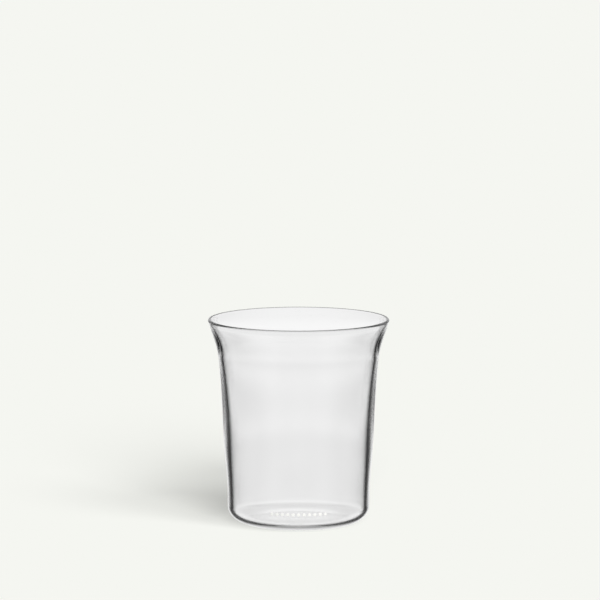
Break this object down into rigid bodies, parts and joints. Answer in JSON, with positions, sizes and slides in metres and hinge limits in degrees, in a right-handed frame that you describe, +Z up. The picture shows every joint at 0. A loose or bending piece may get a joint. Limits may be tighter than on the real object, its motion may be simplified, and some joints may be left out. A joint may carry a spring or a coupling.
{
  "type": "cortado glass",
  "caption": "Small clear heat-resistant glass with a flared lip, a side that opens slowly upwards, a rounded base and a short row of white enamel dots low on the front.",
  "frame": {"origin": "centre of the foot ring, on the plane that the glass stands on", "axes": "+Z up along the axis of the glass, from the foot to the rim; -Y is the side with the enamel dots; +X is to the right of someone who faces the dots"},
  "size_m": [0.07, 0.07, 0.0796],
  "materials": {
    "clear_glass": "polished",
    "white_enamel": "gloss"
  },
  "bodies": {
    "root": {"glass_body": "clear_glass", "enamel_dots": "white_enamel"}
  },
  "joints": []
}
